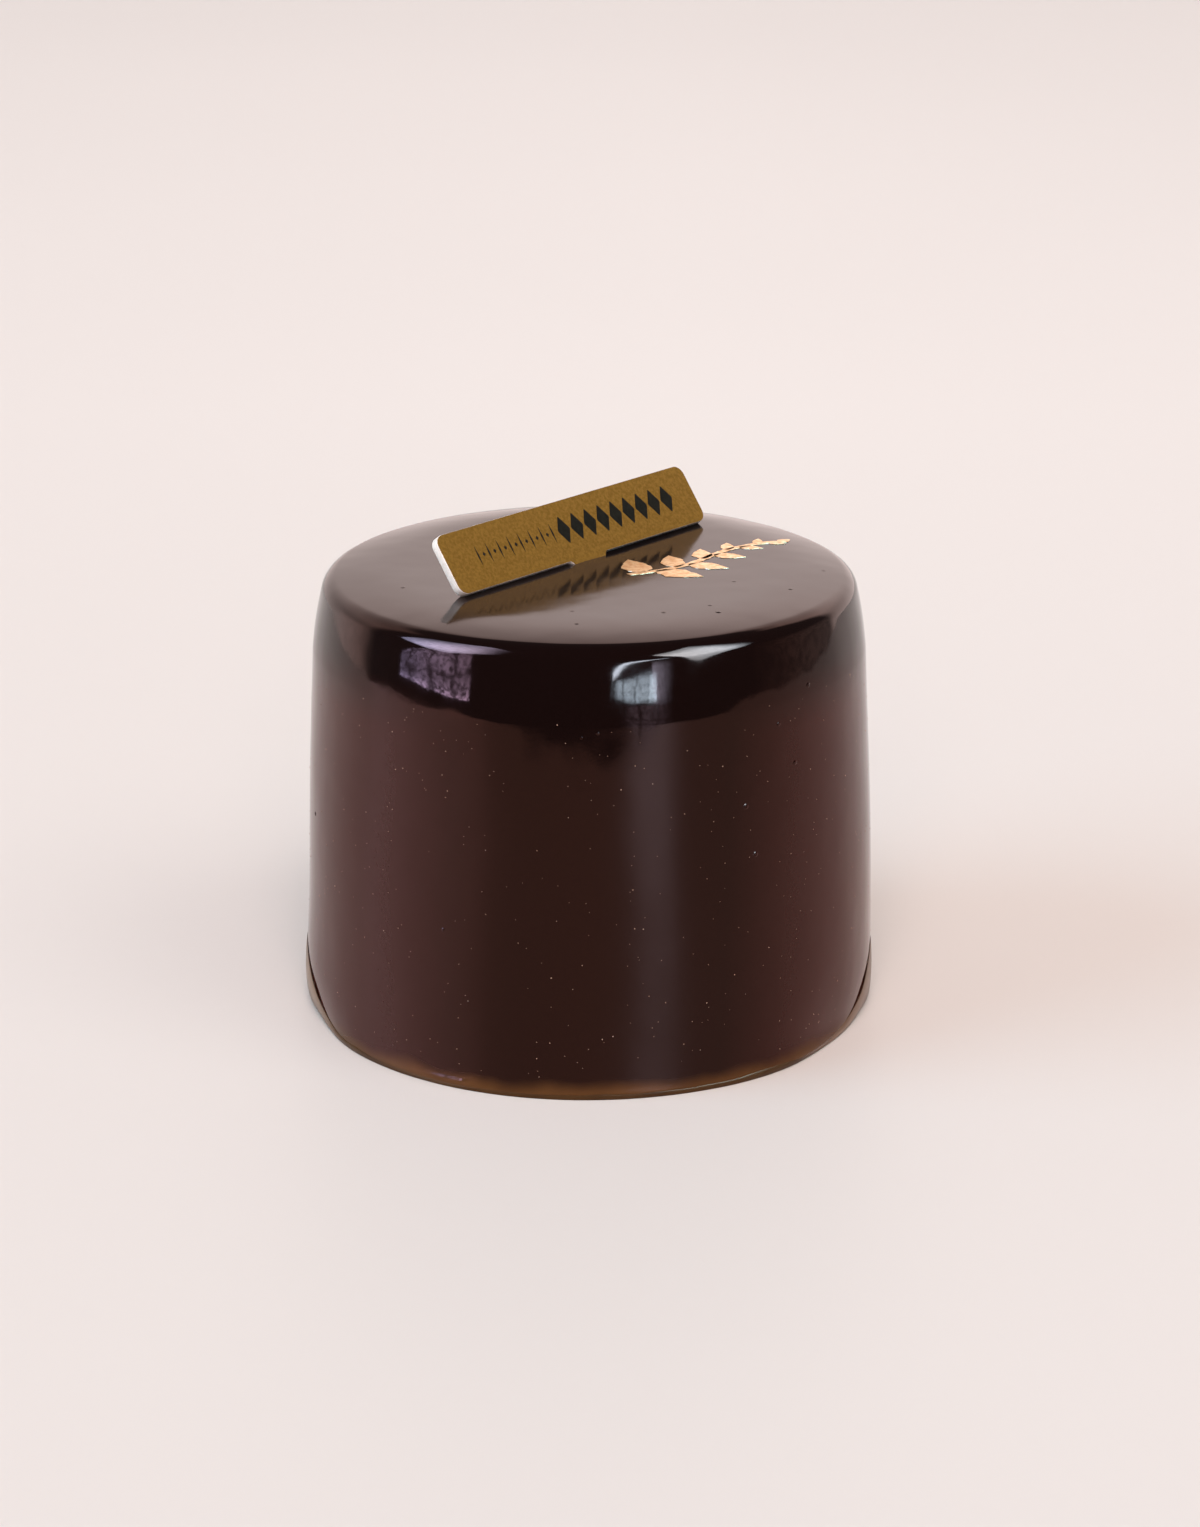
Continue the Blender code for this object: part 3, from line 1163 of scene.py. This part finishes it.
class OPERACAKE_OT_gold_leaf(bpy.types.Operator):
    """Lays a sprig of gold leaf on the crown, torn at its edges"""

    bl_idname = "opera_cake.gold_leaf"
    bl_label = "Gold leaf sprig"

    def execute(self, context):
        settings = context.scene.opera_cake.leaf
        chance = random.Random(21)
        made = [self.stem(settings.length)]
        leaves = (
            (-12.0, 66, 6.8, 3.9),
            (-10.0, -64, 7.0, 3.8),
            (-6.6, 60, 6.0, 3.4),
            (-4.4, -60, 5.8, 3.2),
            (-1.0, 54, 5.0, 2.8),
            (1.4, -54, 4.6, 2.6),
            (4.6, 50, 3.6, 1.9),
            (6.8, -50, 3.4, 1.8),
            (9.8, 44, 2.8, 1.5),
            (11.4, -40, 2.6, 1.4),
            (13.0, 10, 2.8, 1.4),
        )
        for x, degrees, length, width in leaves:
            made.append(self.leaf(x * MM, math.radians(degrees), length * MM, width * MM, chance))
        sprig = join(made, "gold_leaf_sprig")
        middle = Vector((16.4 * MM, 3.2 * MM))
        turned = Matrix.Rotation(settings.turn, 4, "Z")
        sprig.data.transform(Matrix.Translation((middle.x, middle.y, 0)) @ turned)
        for vertex in sprig.data.vertices:
            radius = vertex.co.to_2d().length
            drop = max(0.0, radius - CROWN_RIM_RADII[-1])
            fall = drop * drop / (2 * CROWN_ROLL_RADIUS)
            vertex.co.z += CAKE_HEIGHT - fall
        gold = plain_material(
            "loose_gold_leaf", "DCAA70", "F8DCB2", 1300.0, 0.34, metallic=1.0, bump=0.5, bump_depth=0.05 * MM
        )
        finish_piece(sprig, gold, smooth=False)
        return {"FINISHED"}

    def wave(self, x, length):
        return 1.1 * MM * math.sin(x / length * math.tau * 1.1)

    def stem(self, length):
        """The thin wavy stem, broken at its edges."""
        deselect()
        bpy.ops.mesh.primitive_grid_add(x_subdivisions=64, y_subdivisions=2, size=1.0)
        piece = named("leaf_stem")
        for vertex in piece.data.vertices:
            x = vertex.co.x * length
            half = (0.50 + 0.18 * noise.noise(Vector((x / MM * 1.1, vertex.co.y * 5, 0)))) * MM
            vertex.co = (x, self.wave(x, length) + vertex.co.y * 2 * half, 0)
        self.lift(piece)
        return piece

    def leaf(self, x, turn, length, width, chance):
        """One pointed leaf that grows from the stem, with a torn edge."""
        deselect()
        bpy.ops.mesh.primitive_circle_add(vertices=36, radius=0.5, fill_type="NGON")
        piece = named("leaf_blade")
        start = chance.uniform(0, 100)
        for vertex in piece.data.vertices:
            along = vertex.co.x + 0.5
            swell_out = math.sin(math.pi * min(1.0, along) ** 0.75)
            torn = 1 + 0.22 * noise.noise(Vector((vertex.co.x * 9, vertex.co.y * 9, start)))
            side = math.copysign(1.0, vertex.co.y) if abs(vertex.co.y) > 1e-6 else 0.0
            vertex.co = (along * length, side * swell_out * width / 2 * torn, 0)
        root = Vector((x, self.wave(x, 27.0 * MM), 0))
        piece.data.transform(Matrix.Translation(root) @ Matrix.Rotation(turn, 4, "Z"))
        self.lift(piece)
        return piece

    def lift(self, piece):
        """Gives the leaf the little thickness that keeps it clear of the glaze."""
        thicken(piece, -0.05 * MM, 0.06 * MM)


# ================================================================ the stage
def card(name, corners, material, columns=24, rows=12, bows=(0, 0)):
    """A sheet of light on a sphere round the lip. Corners are (azimuth from +Y towards +X, elevation) in degrees:
    lower left, lower right, upper left, upper right. Bows are how far the middles of its lower and upper edges
    rise above a straight line."""
    deselect()
    bpy.ops.mesh.primitive_grid_add(x_subdivisions=columns, y_subdivisions=rows, size=1.0, calc_uvs=True)
    sheet = named(name)
    low_left, low_right, high_left, high_right = corners
    for vertex in sheet.data.vertices:
        u, v = vertex.co.x + 0.5, vertex.co.y + 0.5
        angles = []
        for i in (0, 1):
            low = low_left[i] + (low_right[i] - low_left[i]) * u
            high = high_left[i] + (high_right[i] - high_left[i]) * u
            angles.append(math.radians(low + (high - low) * v))
        azimuth, elevation = angles
        elevation += math.radians(bows[0] + (bows[1] - bows[0]) * v) * 4 * u * (1 - u)
        way = Vector(
            (
                math.sin(azimuth) * math.cos(elevation),
                math.cos(azimuth) * math.cos(elevation),
                math.sin(elevation),
            )
        )
        vertex.co = WINDOW_EYE + way * CARD_DISTANCE
    sheet.data.materials.append(material)
    seen_only_in_reflections(sheet)
    return sheet


def light_only(lamp, pieces):
    """Keeps a lamp's light to these pieces."""
    group = bpy.data.collections.new(lamp.name + "_receivers")
    for piece in pieces:
        group.objects.link(piece)
    lamp.light_linking.receiver_collection = group


def seen_only_in_reflections(thing):
    thing.visible_camera = False
    thing.visible_diffuse = False
    thing.visible_shadow = False
    thing.visible_transmission = False


def sun(name, azimuth, elevation, spread, strength, colour):
    """A soft distant light that isn't mirrored in the glaze; its angles are in degrees."""
    data = bpy.data.lights.new(name, "SUN")
    data.energy = strength
    data.angle = math.radians(spread)
    data.color = linear(colour)[:3]
    lamp = bpy.data.objects.new(name, data)
    turn, rise = math.radians(azimuth), math.radians(elevation)
    way = Vector((math.sin(turn) * math.cos(rise), math.cos(turn) * math.cos(rise), math.sin(rise)))
    lamp.rotation_euler = (-way).to_track_quat("-Z", "Y").to_euler()
    lamp.visible_glossy = False
    bpy.context.scene.collection.objects.link(lamp)


def table_top(name, low, high, height, material):
    deselect()
    bpy.ops.mesh.primitive_plane_add(size=1.0)
    top = named(name)
    middle = ((low[0] + high[0]) / 2, (low[1] + high[1]) / 2, height)
    top.data.transform(
        Matrix.Translation(middle) @ Matrix.Diagonal((high[0] - low[0], high[1] - low[1], 1, 1))
    )
    top.data.materials.append(material)
    return top


def table_material(colour, name, edges=None):
    """A pale satin laminate: faintly warm, with a broad dull shine, and painted a little darker far behind the
    cake and towards +X, as shade where its light falls off. It fades out towards any edges given.
    """
    material, tree = new_material(name)
    place = node(tree, "ShaderNodeTexCoord")
    cloud = node(
        tree,
        "ShaderNodeTexNoise",
        inputs={"Scale": 2.2, "Detail": 1.0},
        links={"Vector": place.outputs["Object"]},
    )
    tone = node(
        tree,
        "ShaderNodeMapRange",
        inputs={"From Min": 0.3, "From Max": 0.7, "To Min": 0.98, "To Max": 1.01},
        links={"Value": cloud.outputs["Fac"]},
    )
    # Painted shade: the colour dims from 1.0 to 0.85 between 0.35 m and 1.1 m along Y, and to 0.95 between 0.02 m
    # and 0.25 m along X, as the light falls off
    split = node(tree, "ShaderNodeSeparateXYZ", links={"Vector": place.outputs["Object"]})
    distance = node(
        tree,
        "ShaderNodeMapRange",
        inputs={"From Min": 0.35, "From Max": 1.1, "To Min": 1.0, "To Max": 0.85},
        links={"Value": split.outputs["Y"]},
    )
    aside = node(
        tree,
        "ShaderNodeMapRange",
        inputs={"From Min": 0.02, "From Max": 0.25, "To Min": 1.0, "To Max": 0.95},
        links={"Value": split.outputs["X"]},
    )
    dimmed = node(
        tree,
        "ShaderNodeMath",
        operation="MULTIPLY",
        links={0: tone.outputs[0], 1: distance.outputs[0]},
    )
    painted_light_falloff = node(
        tree,
        "ShaderNodeMath",
        operation="MULTIPLY",
        links={0: dimmed.outputs[0], 1: aside.outputs[0]},
    )
    shade = node(
        tree,
        "ShaderNodeMix",
        data_type="RGBA",
        blend_type="MULTIPLY",
        inputs={0: 1.0, 6: (*colour, 1.0)},
        links={7: painted_light_falloff.outputs[0]},
    )
    shader = node(
        tree,
        "ShaderNodeBsdfPrincipled",
        inputs={"Roughness": 0.5, "IOR": 1.33},
        links={"Base Color": shade.outputs[2]},
    )
    surface = shader.outputs[0]
    if edges:
        low, high, width = edges
        wobble = node(
            tree,
            "ShaderNodeTexNoise",
            inputs={"Scale": 20.0, "Detail": 3.0},
            links={"Vector": place.outputs["Object"]},
        )
        crooked = node(
            tree,
            "ShaderNodeVectorMath",
            operation="MULTIPLY_ADD",
            inputs={1: (0.1, 0.1, 0.0)},
            links={0: wobble.outputs["Color"], 2: place.outputs["Object"]},
        )
        bent = node(tree, "ShaderNodeSeparateXYZ", links={"Vector": crooked.outputs[0]})
        left = fade_in(tree, bent.outputs["X"], low[0] + 0.05, width)
        right = fade_in(tree, bent.outputs["X"], high[0] + 0.05, -width)
        front = fade_in(tree, bent.outputs["Y"], low[1] + 0.05, width)
        sides = node(tree, "ShaderNodeMath", operation="MULTIPLY", links={0: left, 1: right})
        whole = node(tree, "ShaderNodeMath", operation="MULTIPLY", links={0: sides.outputs[0], 1: front})
        clear = node(tree, "ShaderNodeBsdfTransparent")
        surface = node(
            tree,
            "ShaderNodeMixShader",
            links={0: whole.outputs[0], 1: clear.outputs[0], 2: surface},
        ).outputs[0]
    node(tree, "ShaderNodeOutputMaterial", links={"Surface": surface})
    return material


def fade_in(tree, value, edge, width):
    """From nothing at this edge to all at this width from it."""
    return node(
        tree,
        "ShaderNodeMapRange",
        interpolation_type="SMOOTHSTEP",
        inputs={"From Min": edge, "From Max": edge + width, "To Min": 0.0, "To Max": 1.0},
        links={"Value": value},
    ).outputs[0]


class OPERACAKE_OT_stage(bpy.types.Operator):
    """Sets the pale table, the backdrop, the lamps and the camera"""

    bl_idname = "opera_cake.stage"
    bl_label = "Stage"

    def execute(self, context):
        settings = context.scene.opera_cake.stage
        self.table(settings)
        self.reflections()
        self.lamps()
        self.camera(context, settings)
        self.picture_tone(context)
        return {"FINISHED"}

    def table(self, settings):
        """The table near the cake, which the glaze mirrors, and the same surface carried on far beyond it."""
        low, high = (-0.36, -0.262), (0.48, 1.1)
        near = table_material(settings.floor_colour, "satin_table_laminate", (low, high, 0.055))
        top = table_top("table", low, high, 0.0, near)
        top.visible_shadow = False
        top.visible_diffuse = False
        far = table_material(settings.floor_colour, "satin_table_laminate_beyond")
        beyond = table_top("table_beyond", (-4.0, -4.0), (4.0, 4.0), -0.1 * MM, far)
        beyond.visible_glossy = False
        deselect()
        bpy.ops.mesh.primitive_uv_sphere_add(segments=48, ring_count=24, radius=3.9)
        dome = named("backdrop")
        dome.data.materials.append(light_material("pale_backdrop", "EAE0DE", 0.87))
        seen_only_in_reflections(dome)
        dome.visible_camera = True
        dome.visible_glossy = False

    def reflections(self):
        """The bright wall behind, the two windows and the two soft lamps that the glaze mirrors."""
        glazed = [bpy.data.objects[name] for name in ("poured_glaze", "glaze_blisters", "glaze_foot_rim")]
        table = bpy.data.objects["table"]
        wall = card(
            "bright_wall",
            ((-84, -16), (62, -16), (-84, 52), (62, 52)),
            light_material(
                "bright_wall_light",
                "FFECE6",
                1.68,
                ramps=(
                    ("Y", 0.42, 0.75, 0.6, 1.0),
                    ("Y", 0.56, 0.84, 1.0, 0.64),
                    ("Y", 0.88, 1.0, 1.0, 0.0),
                    ("X", 0.2, 0.97, 0.86, 1.65),
                    ("X", 0.02, 0.1, 0.0, 1.0),
                    ("X", 0.93, 1.0, 1.0, 0.0),
                ),
            ),
            columns=48,
            rows=24,
        )
        right_window = card(
            "right_window",
            ((152.5, -3.4), (171.5, -1.8), (152.5, 3.6), (170.5, 4.5)),
            light_material(
                "right_window_light",
                "7FCAFF",
                125.0,
                ramps=(
                    ("Y", 0.0, 0.3, 0.08, 1.0),
                    ("X", 0.0, 0.08, 0.3, 1.0),
                    ("X", 0.2, 0.3, 1.0, 0.62),
                    ("X", 0.82, 1.0, 1.0, 0.15),
                ),
                cloud=0.9,
                panes=(4, 2, 0.02),
                waver=0.12,
                grain=34.0,
            ),
        )
        right_shade = card(
            "right_window_shade",
            ((145, -4), (154, -4), (145, 9.5), (154, 9)),
            light_material(
                "right_window_shade_light",
                "8EC4FF",
                22.0,
                ramps=(("X", 0.0, 0.9, 0.0, 1.0), ("Y", 0.0, 0.3, 0.2, 1.0), ("Y", 0.7, 1.0, 1.0, 0.0)),
                cloud=0.6,
                waver=0.1,
            ),
        )
        right_lattice = card(
            "right_window_lattice",
            ((146, -16), (167, -13), (146, -3), (167, -2.5)),
            light_material(
                "right_window_lattice_light",
                "A4C8FF",
                4.5,
                ramps=(("X", 0.0, 0.4, 0.0, 1.0), ("X", 0.7, 1.0, 1.0, 0.2)),
                cloud=0.9,
                panes=(3, 3, 0.04),
                waver=0.1,
            ),
        )
        right_arc = card(
            "right_curtain_gap",
            ((146.5, 11.0), (170, 4.4), (146.5, 12.3), (170, 6.6)),
            light_material(
                "right_curtain_gap_light",
                "86CCFF",
                120.0,
                ramps=(("X", 0.0, 0.5, 0.5, 1.0), ("Y", 0.0, 0.4, 0.2, 1.0), ("Y", 0.6, 1.0, 1.0, 0.2)),
                cloud=0.3,
            ),
            bows=(0.5, 0.5),
        )
        right_table_sheen = card(
            "right_table_sheen",
            ((146, 0), (162, 0), (146, 16), (162, 16)),
            light_material("right_table_sheen_light", "A4D2FF", 76.0),
        )
        left_window = card(
            "left_window",
            ((-131, -4.5), (-97, -5.5), (-131, 14), (-97, 0)),
            light_material(
                "left_window_light",
                "A2BCFF",
                44.0,
                ramps=(("Y", 0.12, 0.34, 1.0, 0.34), ("X", 0.7, 1.0, 1.0, 0.7)),
                cloud=0.95,
                panes=(3, 2, 0.04),
                waver=0.26,
                grain=22.0,
            ),
        )
        left_lamp = card(
            "left_soft_lamp",
            ((-146, 33), (-92, 20), (-146, 42), (-92, 46)),
            light_material(
                "left_soft_lamp_light",
                "94C0FF",
                66.0,
                ramps=(
                    ("Y", 0.0, 0.14, 0.5, 1.0),
                    ("Y", 0.3, 1.0, 1.0, 0.35),
                    ("X", 0.05, 0.5, 0.0, 1.0),
                    ("X", 0.6, 1.0, 1.0, 0.3),
                ),
                cloud=0.3,
            ),
            bows=(-20, 14),
        )
        right_lamp = card(
            "right_soft_lamp",
            ((138, 6), (86, 50), (151, 33), (88, 58)),
            light_material(
                "right_soft_lamp_light",
                "95D7FF",
                74.0,
                ramps=(("Y", 0.0, 0.25, 0.45, 1.0), ("Y", 0.6, 1.0, 1.0, 0.4), ("X", 0.4, 0.68, 1.0, 0.0)),
                cloud=0.2,
            ),
            bows=(-14, 11),
        )
        right_haze = card(
            "right_dim_room",
            ((108, -8), (55, -8), (108, 16), (55, 16)),
            light_material(
                "right_dim_room_light",
                "FFE2D6",
                0.4,
                ramps=(("X", 0.0, 0.6, 0.0, 1.0), ("Y", 0.5, 1.0, 1.0, 0.0)),
                cloud=0.6,
                waver=0.2,
            ),
        )
        left_haze = card(
            "left_dim_room",
            ((-76, -12), (-40, -12), (-76, 16), (-40, 16)),
            light_material(
                "left_dim_room_light",
                "FFD8D6",
                0.5,
                ramps=(("X", 0.0, 0.35, 0.0, 1.0), ("X", 0.6, 1.0, 1.0, 0.0), ("Y", 0.6, 1.0, 1.0, 0.0)),
                cloud=0.4,
                waver=0.2,
            ),
        )
        table_glow = card(
            "left_table_sheen",
            ((-135, 4), (-80, 4), (-135, 44), (-80, 44)),
            light_material("left_table_sheen_light", "ECE2F8", 11.0),
        )
        plaque_wall = card(
            "wall_seen_by_plaque",
            ((-84, -16), (58, -16), (-84, 52), (58, 52)),
            light_material("wall_seen_by_plaque_light", "FFECE6", 0.75),
        )
        leaf = bpy.data.objects["gold_leaf_sprig"]
        light_only(wall, [*glazed, table, leaf])
        for window in (right_window, left_window):
            light_only(window, glazed[:2])
        light_only(plaque_wall, [bpy.data.objects[name] for name in ("plaque_card", "plaque_gold_face", "plaque_print")])
        for lamp in (left_lamp, right_lamp, right_haze, left_haze, right_shade, right_lattice, right_arc):
            light_only(lamp, glazed)
        for glow in (table_glow, right_table_sheen):
            light_only(glow, [table])

    def lamps(self):
        """Soft lights that aren't mirrored. Angles are azimuth from +Y towards +X, and elevation."""
        sun("front_high", 180, 60, 30, 1.65, "FFEBEB")
        sun("front_low", 180, 30, 30, 1.55, "FFE1DC")
        sun("left_sky", -107, 30, 40, 1.45, "B8E6FF")
        sun("right_room", 125, 48, 36, 0.68, "FFFFFF")
        sun("overhead", 0, 65, 120, 0.25, "FFF4E6")
        world = bpy.data.worlds.new("dim_room")
        world.use_nodes = True
        world.node_tree.nodes["Background"].inputs["Color"].default_value = (0.135, 0.12, 0.125, 1)
        bpy.context.scene.world = world

    def camera(self, context, settings):
        data = bpy.data.cameras.new("camera")
        data.lens = settings.lens
        data.sensor_width = 36.0
        data.clip_start = 0.01
        data.clip_end = 30.0
        camera = bpy.data.objects.new("camera", data)
        camera.location = (0.0, -0.5060, 0.2055)
        camera.rotation_euler = (math.radians(90 - 18.74), 0.0, -0.003)
        context.scene.collection.objects.link(camera)
        context.scene.camera = camera

    def picture_tone(self, context):
        """A plain print-like tone, with no bright flecks thrown by the glaze on what stands near it."""
        context.scene.cycles.caustics_reflective = False
        context.scene.display_settings.display_device = "sRGB"
        settings = context.scene.view_settings
        settings.view_transform = "Standard"
        settings.look = "None"


class OPERACAKE_PT_sidebar(bpy.types.Panel):
    """Lists the cake's builders in the sidebar"""

    bl_idname = "OPERACAKE_PT_sidebar"
    bl_label = "Opera cake"
    bl_space_type = "VIEW_3D"
    bl_region_type = "UI"
    bl_category = "Opera cake"

    def draw(self, context):
        settings = context.scene.opera_cake
        for group in ("glaze", "foot", "specks", "plaque", "leaf", "stage"):
            box = self.layout.box()
            values = getattr(settings, group)
            for name in values.__annotations__:
                box.prop(values, name)
        for builder in BUILDERS:
            self.layout.operator(builder.bl_idname)


SETTINGS = (
    GlazeSettings,
    FootSettings,
    SpeckSettings,
    PlaqueSettings,
    LeafSettings,
    StageSettings,
    OperaCakeSettings,
)
BUILDERS = (
    OPERACAKE_OT_poured_glaze,
    OPERACAKE_OT_foot_rim,
    OPERACAKE_OT_bubbles,
    OPERACAKE_OT_blisters,
    OPERACAKE_OT_plaque,
    OPERACAKE_OT_plaque_print,
    OPERACAKE_OT_gold_leaf,
    OPERACAKE_OT_stage,
)
CLASSES = (*SETTINGS, *BUILDERS, OPERACAKE_PT_sidebar)


def register():
    for made in CLASSES:
        bpy.utils.register_class(made)
    bpy.types.Scene.opera_cake = PointerProperty(type=OperaCakeSettings)


def unregister():
    del bpy.types.Scene.opera_cake
    for made in reversed(CLASSES):
        bpy.utils.unregister_class(made)


def main():
    register()
    for builder in BUILDERS:
        group, name = builder.bl_idname.split(".")
        getattr(getattr(bpy.ops, group), name)()
    deselect()


if __name__ == "__main__":
    main()
